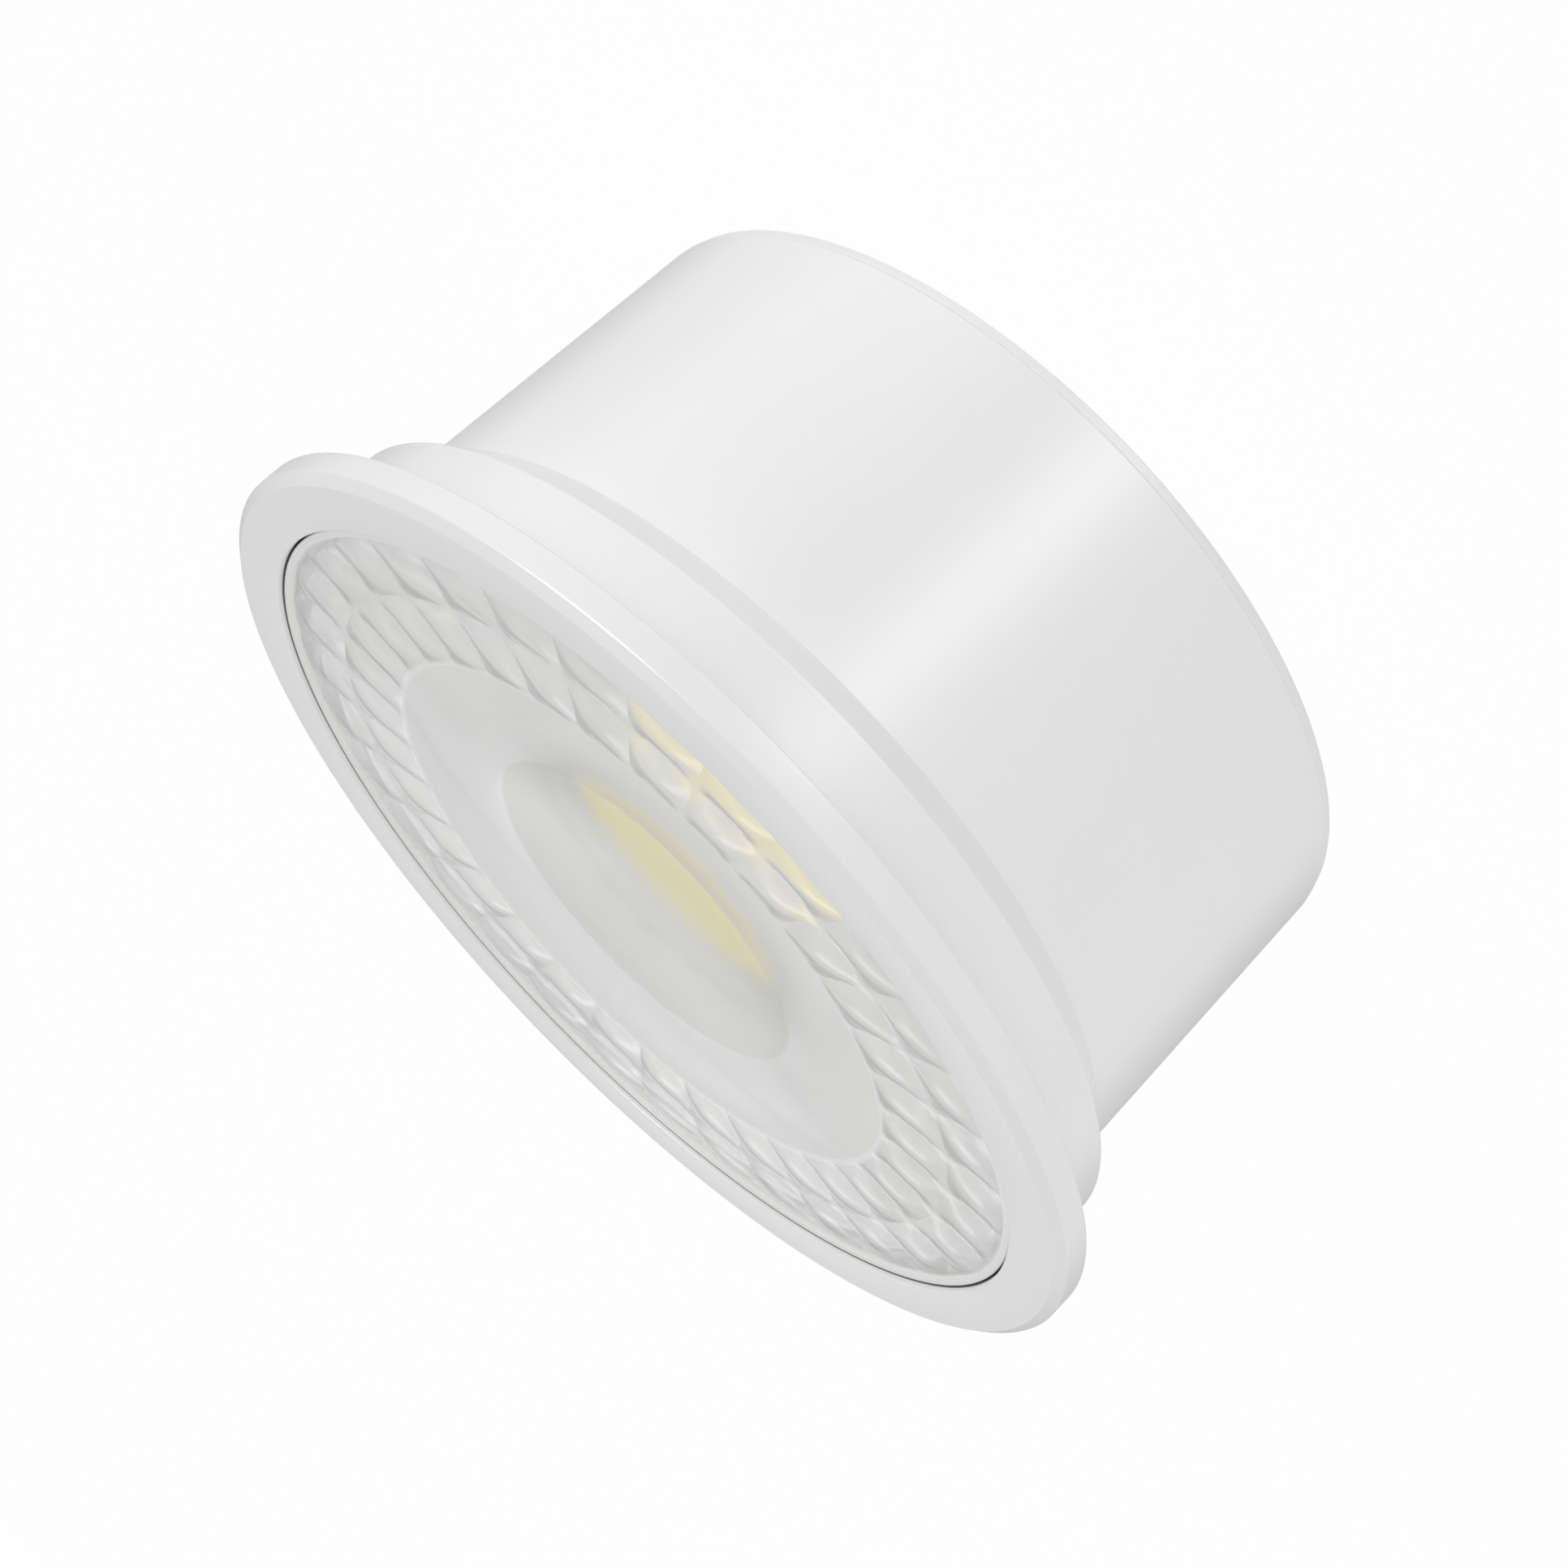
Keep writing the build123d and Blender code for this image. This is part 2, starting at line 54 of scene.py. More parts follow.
def linearColour(hexText):
    # sRGB hex text to linear red, green, blue, 1
    s = np.array([int(hexText[i:i + 2], 16) for i in (1, 3, 5)]) / 255
    return (*np.where(s <= 0.04045, s / 12.92, ((s + 0.055) / 1.055) ** 2.4), 1.0)


def shadesAround(hexText, mottle):
    # the colour a share darker and a share lighter
    base = np.array(linearColour(hexText))[:3]
    return (*(base * (1 - mottle)), 1.0), (*np.minimum(base * (1 + mottle), 1), 1.0)


def addNode(tree, kind, settings=None, inputs=None):
    # settings go on the node, and an input is a value, a socket, or a node that gives its first live output
    node = tree.nodes.new(kind)
    for key, value in (settings or {}).items():
        setattr(node, key, value)
    for key, value in (inputs or {}).items():
        if isinstance(value, bpy.types.Node):
            value = next(socket for socket in value.outputs if socket.enabled)
        if isinstance(value, bpy.types.NodeSocket):
            tree.links.new(value, node.inputs[key])
        else:
            node.inputs[key].default_value = value
    return node


def newMaterial(name):
    material = bpy.data.materials.new(name)
    material.use_nodes = True
    material.node_tree.nodes.clear()
    return material, material.node_tree


print("surfaces")


def roundedOutline(corners, steps=6):
    # each corner is (r, z, radius): the corner is replaced by the arc that touches both of its sides
    points = np.array([c[:2] for c in corners], float)
    out = []
    for i, radius in enumerate(c[2] for c in corners):
        here = points[i]
        if radius <= 0:
            out.append(here[None])
            continue
        before, after = points[i - 1] - here, points[(i + 1) % len(points)] - here
        before, after = before / np.linalg.norm(before), after / np.linalg.norm(after)
        halfAngle = np.arccos(np.clip(before @ after, -1, 1)) / 2
        centre = here + (before + after) / np.linalg.norm(before + after) * radius / sin(halfAngle)
        start = here + before * radius / np.tan(halfAngle) - centre
        end = here + after * radius / np.tan(halfAngle) - centre
        sweep = pi - 2 * halfAngle
        t = np.linspace(0, 1, steps + 1)[:, None]
        out.append(centre + (start * np.sin((1 - t) * sweep) + end * np.sin(t * sweep)) / sin(sweep))
    return np.concatenate(out)


def arcBetween(start, end, sagitta, steps):
    # circular arc from start to end, bulging by sagitta to the left of the way it goes
    start, end = np.array(start, float), np.array(end, float)
    half = np.linalg.norm(end - start) / 2
    along = (end - start) / (2 * half)
    left = np.array([-along[1], along[0]])
    radius = (half ** 2 + sagitta ** 2) / (2 * abs(sagitta))
    t = np.linspace(-1, 1, steps + 1) * np.arcsin(half / radius)
    bulge = np.sign(sagitta) * (radius * np.cos(t) - np.sqrt(radius ** 2 - half ** 2))
    return (start + end) / 2 + np.outer(radius * np.sin(t), along) + np.outer(bulge, left)


def levelArc(level, other, steps):
    # circular arc from level, where it runs level, to other
    level, other = np.array(level, float), np.array(other, float)
    across, rise = other - level
    radius = (across ** 2 + rise ** 2) / (2 * rise)
    t = np.linspace(0, np.arcsin(across / radius), steps + 1)
    return np.stack([level[0] + radius * np.sin(t), level[1] + radius * (1 - np.cos(t))], -1)


def roundTheAxis(count):
    # count angles, evenly spaced over one full turn
    return np.linspace(0, 2 * pi, count, endpoint=False)


def gridShell(points, wrapRows=False):
    # rows x columns grid of points, columns always wrap, rows wrap if asked
    rows, columns = points.shape[:2]
    index = np.arange(rows * columns).reshape(rows, columns)
    below = np.roll(index, -1, 0) if wrapRows else index[1:]
    above = index if wrapRows else index[:-1]
    quads = np.stack([above, np.roll(above, -1, 1), np.roll(below, -1, 1), below], -1).reshape(-1, 4)
    return points.reshape(-1, 3), [tuple(q) for q in quads.tolist()]


def latheShell(outline, angles):
    # closed outline (r, z) carried round the axis: x = r cos a, y = r sin a
    r, z = outline[:, :1], outline[:, 1:]
    points = np.stack([r * np.cos(angles), r * np.sin(angles), z + 0 * angles], -1)
    return gridShell(points, wrapRows=True)


def poleShell(points, firstPole, lastPole):
    # grid of rings between two single points on the axis, closed with fans
    verts, faces = gridShell(points)
    count, columns = len(verts), points.shape[1]
    ring = np.arange(columns)
    sides = list(zip(ring.tolist(), np.roll(ring, -1).tolist()))
    last = count - columns
    faces += [(count, b, a) for a, b in sides]
    faces += [(count + 1, last + a, last + b) for a, b in sides]
    return np.concatenate([verts, [firstPole], [lastPole]]), faces


def ringSectorShell(inner, outer, bottom, top, middleDeg, spanDeg, steps=8):
    # one arc of a ring: its section is a box, carried round the axis
    a = np.radians(np.linspace(middleDeg - spanDeg / 2, middleDeg + spanDeg / 2, steps + 1))
    section = np.array([(inner, bottom), (outer, bottom), (outer, top), (inner, top)])
    points = np.stack([np.outer(np.cos(a), section[:, 0]), np.outer(np.sin(a), section[:, 0]),
                       np.broadcast_to(section[:, 1], (len(a), 4))], -1)
    verts, faces = gridShell(points)
    return verts, faces + [(3, 2, 1, 0), tuple(len(verts) - 4 + k for k in range(4))]


def signedVolume(points, faces):
    # sum of the tetrahedra from the origin to each triangle of each face, negative when inside out
    total = 0.0
    for size in (3, 4):
        some = np.array([f for f in faces if len(f) == size], int)
        for k in range(1, size - 1) if len(some) else ():
            a, b, c = points[some[:, 0]], points[some[:, k]], points[some[:, k + 1]]
            total += np.einsum("ij,ij->i", a, np.cross(b, c)).sum() / 6
    return total


def buildPiece(name, shells, material, node, sharpDeg):
    # joins closed shells, each turned to face outwards, into one mesh that stands for a CAD node
    points, faces, start = [], [], 0
    for shellPoints, shellFaces in shells:
        if signedVolume(shellPoints, shellFaces) < 0:
            shellFaces = [f[::-1] for f in shellFaces]
        faces += [tuple(i + start for i in f) for f in shellFaces]
        points.append(shellPoints * mm)
        start += len(shellPoints)
    mesh = bpy.data.meshes.new(name)
    mesh.from_pydata(np.concatenate(points).tolist(), [], faces)
    mesh.shade_smooth()
    mesh.set_sharp_from_angle(angle=radians(sharpDeg))
    mesh.materials.append(material)
    piece = bpy.data.objects.new(name, mesh)
    scene.collection.objects.link(piece)
    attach(piece, "root")
    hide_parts(node)
    return piece


print("materials")


def mouldedPlastic(name, colour, roughness, grainMm, bumpMm, mottle=0.02, cloudMm=9.0, paintedGlow=0.0):
    # moulded plastic, rubber or silicone: the skin of the mould breaks up the shine, so highlights are soft,
    # and the colour clouds faintly. The real skin grain is about 0.05 mm and is drawn coarser, to show
    material, tree = newMaterial(name)
    place = addNode(tree, "ShaderNodeTexCoord").outputs["Object"]
    grain = addNode(tree, "ShaderNodeTexNoise", inputs={
        "Vector": place, "Scale": 1 / (grainMm * mm), "Detail": 3.0})
    clouds = addNode(tree, "ShaderNodeTexNoise", inputs={
        "Vector": place, "Scale": 1 / (cloudMm * mm), "Detail": 2.0})
    dark, light = shadesAround(colour, mottle)
    shade = addNode(tree, "ShaderNodeMix", {"data_type": "RGBA"}, {"Factor": clouds, "A": dark, "B": light})
    bump = addNode(tree, "ShaderNodeBump", inputs={
        "Height": grain, "Distance": bumpMm * mm, "Strength": 1.0})
    # a glow above zero makes the surface emit its own colour: painted light, not a lamp
    shader = addNode(tree, "ShaderNodeBsdfPrincipled", inputs={
        "Base Color": shade, "Roughness": roughness, "IOR": 1.5, "Normal": bump,
        "Emission Color": linearColour(colour), "Emission Strength": paintedGlow})
    addNode(tree, "ShaderNodeOutputMaterial", inputs={"Surface": shader})
    return material


def paintGapShadow(material, gap):
    # a hairline of painted shadow: the base colour of the bore wall beside the lens edge is darkened, where
    # the see-through lens would light up the gap
    tree = material.node_tree
    shader = tree.nodes["Principled BSDF"]
    colour = shader.inputs["Base Color"].links[0].from_socket
    place = addNode(tree, "ShaderNodeTexCoord").outputs["Object"]
    height = addNode(tree, "ShaderNodeSeparateXYZ", inputs={0: place}).outputs["Z"]
    flat = addNode(tree, "ShaderNodeVectorMath", {"operation": "MULTIPLY"}, {0: place, 1: (1, 1, 0)})
    radius = addNode(tree, "ShaderNodeVectorMath", {"operation": "LENGTH"}, {0: flat})
    below = addNode(tree, "ShaderNodeMapRange", inputs={
        "Value": height, "From Min": (gap["top"] - gap["soft"]) * mm, "From Max": gap["top"] * mm,
        "To Min": 1.0, "To Max": 0.0})
    above = addNode(tree, "ShaderNodeMath", {"operation": "GREATER_THAN"},
                    {0: height, 1: gap["bottom"] * mm})
    wall = addNode(tree, "ShaderNodeMath", {"operation": "LESS_THAN"}, {0: radius, 1: gap["radius"] * mm})
    band = addNode(tree, "ShaderNodeMath", {"operation": "MULTIPLY"}, {0: above, 1: wall})
    share = addNode(tree, "ShaderNodeMath", {"operation": "MULTIPLY"}, {0: band, 1: below})
    shade = addNode(tree, "ShaderNodeMix", {"data_type": "RGBA"},
                    {"Factor": share, "A": colour, "B": linearColour(gap["colour"])})
    tree.links.new(shade.outputs["Result"], shader.inputs["Base Color"])


def hazyAcrylic(h):
    # moulded acrylic: fine haze on the front face makes it milky, the polished underside stays clear
    material, tree = newMaterial("clear acrylic, hazed front")
    place = addNode(tree, "ShaderNodeTexCoord").outputs["Object"]
    height = addNode(tree, "ShaderNodeSeparateXYZ", inputs={0: place}).outputs["Z"]
    face = addNode(tree, "ShaderNodeMapRange", inputs={
        "Value": height, "From Min": h["faceFrom"] * mm, "From Max": h["faceTo"] * mm})
    flat = addNode(tree, "ShaderNodeVectorMath", {"operation": "MULTIPLY"}, {0: place, 1: (1, 1, 0)})
    radius = addNode(tree, "ShaderNodeVectorMath", {"operation": "LENGTH"}, {0: flat})
    zones = h["zones"]
    haze, roughness = zones[0]["haze"], zones[0]["roughness"]
    for zone, nextZone in zip(zones, zones[1:]):
        past = addNode(tree, "ShaderNodeMapRange", inputs={
            "Value": radius, "From Min": (zone["upTo"] - h["soft"]) * mm,
            "From Max": (zone["upTo"] + h["soft"]) * mm})
        haze = addNode(tree, "ShaderNodeMix", {"data_type": "FLOAT"},
                       {"Factor": past, "A": haze, "B": nextZone["haze"]})
        roughness = addNode(tree, "ShaderNodeMix", {"data_type": "FLOAT"},
                            {"Factor": past, "A": roughness, "B": nextZone["roughness"]})
    share = addNode(tree, "ShaderNodeMath", {"operation": "MULTIPLY"}, {0: face, 1: haze})
    through = addNode(tree, "ShaderNodeMath", {"operation": "SUBTRACT"}, {0: 1.0, 1: share})
    colour = addNode(tree, "ShaderNodeMix", {"data_type": "RGBA"}, {
        "Factor": face, "A": linearColour(h["clearColour"]), "B": linearColour(h["faceColour"])})
    wave = addNode(tree, "ShaderNodeTexNoise", inputs={
        "Vector": place, "Scale": 1 / (h["waveMm"] * mm), "Detail": 1.0})
    bump = addNode(tree, "ShaderNodeBump", inputs={
        "Height": wave, "Distance": h["waveDepthMm"] * mm, "Strength": 1.0})
    shader = addNode(tree, "ShaderNodeBsdfPrincipled", inputs={
        "Base Color": colour, "Roughness": roughness, "IOR": 1.49, "Transmission Weight": through,
        "Normal": bump})
    # daylight reaches the board and the bore straight through the lens, but not its rim
    rays = addNode(tree, "ShaderNodeLightPath")
    soft = addNode(tree, "ShaderNodeMath", {"operation": "MAXIMUM"},
                   {0: rays.outputs["Is Shadow Ray"], 1: rays.outputs["Is Diffuse Ray"]})
    inside = addNode(tree, "ShaderNodeMath", {"operation": "SUBTRACT"}, {0: 1.0, 1: past})
    letThrough = addNode(tree, "ShaderNodeMath", {"operation": "MULTIPLY"}, {0: soft, 1: inside})
    clear = addNode(tree, "ShaderNodeBsdfTransparent")
    mix = addNode(tree, "ShaderNodeMixShader", inputs={"Fac": letThrough, 1: shader, 2: clear})
    addNode(tree, "ShaderNodeOutputMaterial", inputs={"Surface": mix})
    return material


print("housing")
housingLow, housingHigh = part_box("housing")
# snaps that the housing's grooves share with the cover's barbs and the lens's lugs
snaps = dict(
    clear=0.1, barbReach=19.65, barbBase=2.2, barbHeight=0.7,
    lugReach=22.25, lugLift=0.6, lugHeight=0.6,
)
housing = dict(
    rear=frameMm(housingLow.z), front=frameMm(housingHigh.z), flangeRadius=frameMm(housingHigh.x),
    flangeThick=1.7, flangeEdgeIn=0.5, flangeEdgeDrop=0.4,
    collarRadius=22.8, collarLong=3.45, collarWall=0.7,
    bodyFrontRadius=21.2, bodyRearRadius=20.78, bodyWall=1.7, lensSeatDepth=4.05,
    ledgeInner=18.2, ledgeTop=14.4, ledgeThick=1.2,
    sharp=0, insideRound=0.05, rearRound=0.06, collarRound=0.08, edgeRound=0.1, boreRound=0.12,
    flangeFrontRound=0.15, flangeBackRound=0.18, stepRound=0.2, segments=256,
)
housing["bore"] = housing["bodyFrontRadius"] - housing["bodyWall"]
housing["lensBore"] = housing["collarRadius"] - housing["collarWall"]
housing["lensSeat"] = housing["front"] - housing["lensSeatDepth"]


def housingOutline(h):
    # up the outside from the rear rim to the front ring, then down the lens pocket and the bore
    front, edge, sharp, inside = h["front"], h["edgeRound"], h["sharp"], h["insideRound"]
    flangeBack = front - h["flangeThick"]
    collarBack = flangeBack - h["collarLong"]
    coneBack = collarBack - (h["collarRadius"] - h["bodyFrontRadius"])  # 45 degree cone
    ledgeBottom = h["ledgeTop"] - h["ledgeThick"]
    lugGroove, barbGroove = snaps["lugReach"] + snaps["clear"], snaps["barbReach"] + snaps["clear"]
    lugBottom = h["lensSeat"] + snaps["lugLift"] - snaps["clear"]
    lugTop = lugBottom + snaps["lugHeight"] + 2 * snaps["clear"]
    barbBottom = snaps["barbBase"] - snaps["clear"]
    barbTop = barbBottom + snaps["barbHeight"] + 2 * snaps["clear"]
    return roundedOutline([
        (h["bore"], h["rear"], edge),
        (h["bodyRearRadius"], h["rear"], h["rearRound"]),
        (h["bodyFrontRadius"], coneBack, h["stepRound"]),
        (h["collarRadius"], collarBack, h["stepRound"]),
        (h["collarRadius"], flangeBack, h["collarRound"]),
        (h["flangeRadius"], flangeBack, h["flangeBackRound"]),
        (h["flangeRadius"], front - h["flangeEdgeDrop"], h["flangeFrontRound"]),
        (h["flangeRadius"] - h["flangeEdgeIn"], front, edge),
        (h["lensBore"], front, h["boreRound"]),
        (h["lensBore"], lugTop, sharp),
        (lugGroove, lugTop, sharp),
        (lugGroove, lugBottom, sharp),
        (h["lensBore"], lugBottom, sharp),
        (h["lensBore"], h["lensSeat"], inside),
        (h["bore"], h["lensSeat"], edge),
        (h["bore"], h["ledgeTop"], inside),
        (h["ledgeInner"], h["ledgeTop"], edge),
        (h["ledgeInner"], ledgeBottom, edge),
        (h["bore"], ledgeBottom, inside),
        (h["bore"], barbTop, sharp),
        (barbGroove, barbTop, sharp),
        (barbGroove, barbBottom, sharp),
        (h["bore"], barbBottom, sharp),
    ])


# satin moulding: one broad soft highlight runs down the round body
whitePolycarbonate = mouldedPlastic(
    "white polycarbonate, satin moulded", "#F2F2F2", roughness=0.3, grainMm=0.35, bumpMm=0.0015)
# painted shadow in the housing's colour: a grey band on the bore wall just below the lens top
paintGapShadow(whitePolycarbonate, dict(
    radius=housing["lensBore"] + 0.1, bottom=22.0, top=22.98, soft=0.05, colour="#8A8A8A"))
housingPiece = buildPiece(
    "housingShell", [latheShell(housingOutline(housing), roundTheAxis(housing["segments"]))],
    whitePolycarbonate, "housing", sharpDeg=30)

print("rear cover")
cover = dict(
    edgeRadius=housing["bodyRearRadius"], edgeHeight=housing["rear"], rimIn=0.15,
    spigotRadius=housing["bore"] - snaps["clear"], spigotInner=18.1,
    spigotTop=frameMm(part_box("rear_cover")[1].z),
    plateTop=1.5, recessRadius=5.0, recessDepth=0.7, holeRadius=3.4,
    recessRound=0.12, edgeRound=0.1, insideRound=0.05, segments=256,
    barbCount=4, barbStartDeg=45, barbSunk=0.3, barbSpanDeg=12.0,
    postCount=3, postStartDeg=30, postCircle=14.0, postRadius=1.2, postHeight=0.7, postSunk=0.2,
    postSegments=32,
)


def coverPlate(c):
    # flat disc with a recessed cable hole, and a spigot that stands in the housing's bore
    edge, inside = c["edgeRound"], c["insideRound"]
    outline = roundedOutline([
        (c["recessRadius"], 0, c["recessRound"]),
        (c["edgeRadius"] - c["rimIn"], 0, edge),
        (c["edgeRadius"], c["edgeHeight"], inside),
        (c["spigotRadius"], c["edgeHeight"], inside),
        (c["spigotRadius"], c["spigotTop"], edge),
        (c["spigotInner"], c["spigotTop"], edge),
        (c["spigotInner"], c["plateTop"], edge),
        (c["holeRadius"], c["plateTop"], inside),
        (c["holeRadius"], c["recessDepth"], inside),
        (c["recessRadius"], c["recessDepth"], inside),
    ])
    return latheShell(outline, roundTheAxis(c["segments"]))


def coverBarb(c, k):
    # snap barb on the outside of the spigot, rooted in its wall
    bottom = snaps["barbBase"]
    return ringSectorShell(c["spigotRadius"] - c["barbSunk"], snaps["barbReach"], bottom,
                           bottom + snaps["barbHeight"], c["barbStartDeg"] + 360 / c["barbCount"] * k,
                           c["barbSpanDeg"])


def coverPost(c, k):
    # round post that the driver board stands on, rooted in the plate
    at = radians(c["postStartDeg"] + 360 / c["postCount"] * k)
    centre = np.array([c["postCircle"] * cos(at), c["postCircle"] * sin(at), 0])
    heights = (c["plateTop"] - c["postSunk"], c["plateTop"] + c["postHeight"])
    a = roundTheAxis(c["postSegments"])
    rings = np.stack([np.stack([c["postRadius"] * np.cos(a), c["postRadius"] * np.sin(a),
                                np.full(len(a), z)], -1) for z in heights]) + centre
    return poleShell(rings, centre + (0, 0, heights[0]), centre + (0, 0, heights[1]))


# a finer mould skin than the housing's and a little duller, so the rear face reads as a separate moulding
coverPolycarbonate = mouldedPlastic(
    "white polycarbonate, fine grain", "#F0F0F0", roughness=0.36, grainMm=0.25, bumpMm=0.003)
coverShells = [coverPlate(cover)]
coverShells += [coverBarb(cover, k) for k in range(cover["barbCount"])]
coverShells += [coverPost(cover, k) for k in range(cover["postCount"])]
buildPiece("rearCoverShell", coverShells, coverPolycarbonate, "rear_cover", sharpDeg=30)

print("lens")
lensLow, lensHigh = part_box("lens")
lens = dict(
    top=frameMm(lensHigh.z), foot=frameMm(lensLow.z), seat=housing["lensSeat"],
    edgeRadius=housing["lensBore"] - 0.1,  # the gap is finer than the CAD's 0.2 mm, as it is in the photo
    cells=32, cellSteps=12, outer=21.6, split=18.3, inner=14.6, pillowDrop=0.24,
    rimThick=2.0, skirtInner=20.9, flankTop=19.8, flankHollow=0.21, footOuter=10.0,
    cavityMouth=7.8, cavityRoof=7.5, cavityTop=16.8, domeTop=16.7,
    ringEdge=22.7, dishRadius=8.75, dishEdge=22.3, dishCentre=21.25,
    rimRound=0.1, dishSteps=24, ringSteps=16, flankSteps=32, domeSteps=16,
    lugCount=3, lugStartDeg=90, lugRoot=0.001, lugSpanDeg=14.0,
)
hazeLook = dict(
    zones=[  # of the front face, from the axis out to each radius
        dict(upTo=lens["dishRadius"], haze=0.4, roughness=0.27),  # dish
        dict(upTo=lens["inner"] - 0.15, haze=0.72, roughness=0.16),  # smooth ring
        dict(upTo=lens["inner"] + 0.15, haze=1.0, roughness=0.2),  # step up to the facets
        dict(upTo=lens["outer"] - 0.1, haze=0.64, roughness=0.1),  # facets
        dict(upTo=None, haze=1.0, roughness=0.2),  # rim
    ],
    soft=0.1, faceFrom=20.9, faceTo=21.1, clearColour="#FDFEFE", faceColour="#F4F4F4",
    waveMm=4.0, waveDepthMm=0.02,
)


def lensProfile(p):
    # section (r, z) from the dish centre over the top, down the skirt and back under to the hollow, and where
    # the facets' rows begin and end in it
    dish = levelArc((0, p["dishCentre"]), (p["dishRadius"], p["dishEdge"]), p["dishSteps"])
    ring = levelArc((p["inner"], p["ringEdge"]), (p["dishRadius"], p["dishEdge"]), p["ringSteps"])[::-1]
    rows = np.concatenate([np.linspace(p["inner"], p["split"], p["cellSteps"] + 1),
                           np.linspace(p["split"], p["outer"], p["cellSteps"] + 1)[1:]])
    facets = np.stack([rows, np.full(len(rows), p["top"])], -1)
    rimBottom = p["top"] - p["rimThick"]
    # the first and last corner here only give the rim's arcs their sides
    rim = roundedOutline([(p["flankTop"], p["top"], 0),
                          (p["edgeRadius"], p["top"], p["rimRound"]),
                          (p["edgeRadius"], p["seat"], p["rimRound"]),
                          (p["skirtInner"], p["seat"], p["rimRound"]),
                          (p["skirtInner"], rimBottom, p["rimRound"]),
                          (p["flankTop"], rimBottom, 0)])[1:-1]
    flank = arcBetween((p["flankTop"], rimBottom), (p["footOuter"], p["foot"]), p["flankHollow"],
                       p["flankSteps"])
    hollow = np.array([(p["cavityMouth"], p["foot"]), (p["cavityRoof"], p["cavityTop"])])
    dome = levelArc((0, p["domeTop"]), (p["cavityRoof"], p["cavityTop"]), p["domeSteps"])[::-1]
    land = np.array([(p["outer"], p["top"])])
    profile = np.concatenate([dish[1:], ring[1:], facets, land, rim, flank, hollow, dome[1:-1]])
    first = len(dish) - 1 + len(ring) - 1
    return profile, first, first + len(facets)


def pillowHeight(p, r, angles):
    # u and v run from -1 to 1 across a facet: height = top - drop (1 - (1 - u u)(1 - v v)), so that every
    # border is level and neighbours meet in one crisp line
    cell = 2 * pi / p["cells"]
    v = (angles % cell) / cell * 2 - 1
    low = np.where(r <= p["split"], p["inner"], p["split"])
    high = np.where(r <= p["split"], p["split"], p["outer"])
    u = ((r - low) / (high - low) * 2 - 1)[:, None]
    return p["top"] - p["pillowDrop"] * (1 - (1 - u ** 2) * (1 - v ** 2))


def lensBody(p):
    # the section carried round the axis: x = r cos a, y = r sin a, with the facets' own height in their rows
    profile, first, last = lensProfile(p)
    angles = roundTheAxis(p["cells"] * p["cellSteps"])
    r, z = profile[:, 0], np.repeat(profile[:, 1:], len(angles), 1)
    z[first:last] = pillowHeight(p, r[first:last], angles)
    points = np.stack([np.outer(r, np.cos(angles)), np.outer(r, np.sin(angles)), z], -1)
    return poleShell(points, (0, 0, p["dishCentre"]), (0, 0, p["domeTop"]))


def lensLug(p, k):
    # snap lug on the edge, in the housing's groove
    bottom = p["seat"] + snaps["lugLift"]
    return ringSectorShell(p["edgeRadius"] - p["lugRoot"], snaps["lugReach"], bottom,
                           bottom + snaps["lugHeight"], p["lugStartDeg"] + 360 / p["lugCount"] * k,
                           p["lugSpanDeg"])


lensShells = [lensBody(lens)] + [lensLug(lens, k) for k in range(lens["lugCount"])]
buildPiece("facetedLens", lensShells, hazyAcrylic(hazeLook), "lens", sharpDeg=14)

print("CAD nodes")
waveTurn = 2 * pi / 20  # a wave texture runs through 20 radians in one unit, so this much is one wave
tin = dict(colour="#CFD0CC", roughness=0.25)


def turnedMetal(name, colour, roughness, pitchMm, depthMm, cloudMm=5.0, uneven=0.06):
    # bare metal off the lathe or the wire die: fine rings from the tool, drawn coarser than the real 0.1 mm
    # feed, stretch the highlights, and handling makes the polish a little uneven
    material, tree = newMaterial(name)
    place = addNode(tree, "ShaderNodeTexCoord").outputs["Object"]
    rings = addNode(tree, "ShaderNodeTexWave", {"wave_type": "RINGS", "rings_direction": "Z"},
                    {"Vector": place, "Scale": waveTurn / (pitchMm * mm), "Distortion": 0.2})
    clouds = addNode(tree, "ShaderNodeTexNoise", inputs={
        "Vector": place, "Scale": 1 / (cloudMm * mm), "Detail": 3.0})
    polish = addNode(tree, "ShaderNodeMapRange", inputs={
        "Value": clouds, "To Min": roughness - uneven, "To Max": roughness + uneven})
    bump = addNode(tree, "ShaderNodeBump", inputs={
        "Height": rings.outputs["Fac"], "Distance": depthMm * mm, "Strength": 1.0})
    shader = addNode(tree, "ShaderNodeBsdfPrincipled", inputs={
        "Base Color": linearColour(colour), "Metallic": 1.0, "Roughness": polish, "Normal": bump})
    addNode(tree, "ShaderNodeOutputMaterial", inputs={"Surface": shader})
    return material


def woundWire(name, colour, between, roughness, wireMm, ridge=1 / 3):
    # enamelled wire laid turn on turn: bright round ridges with dark lines between them, the dark lines being
    # painted shade
    #  in the creases between the turns. The real wire is about 0.2 mm, and is drawn coarser so that its turns
    #  show
    material, tree = newMaterial(name)
    place = addNode(tree, "ShaderNodeTexCoord").outputs["Object"]
    turns = addNode(tree, "ShaderNodeTexWave", {"wave_type": "BANDS", "bands_direction": "Z"},
                    {"Vector": place, "Scale": waveTurn / (wireMm * mm), "Distortion": 0.3})
    shade = addNode(tree, "ShaderNodeMix", {"data_type": "RGBA"}, {
        "Factor": turns.outputs["Fac"], "A": linearColour(between), "B": linearColour(colour)})
    bump = addNode(tree, "ShaderNodeBump", inputs={
        "Height": turns.outputs["Fac"], "Distance": wireMm * ridge * mm, "Strength": 1.0})
    shader = addNode(tree, "ShaderNodeBsdfPrincipled", inputs={
        "Base Color": shade, "Metallic": 1.0, "Roughness": roughness, "Normal": bump})
    addNode(tree, "ShaderNodeOutputMaterial", inputs={"Surface": shader})
    return material


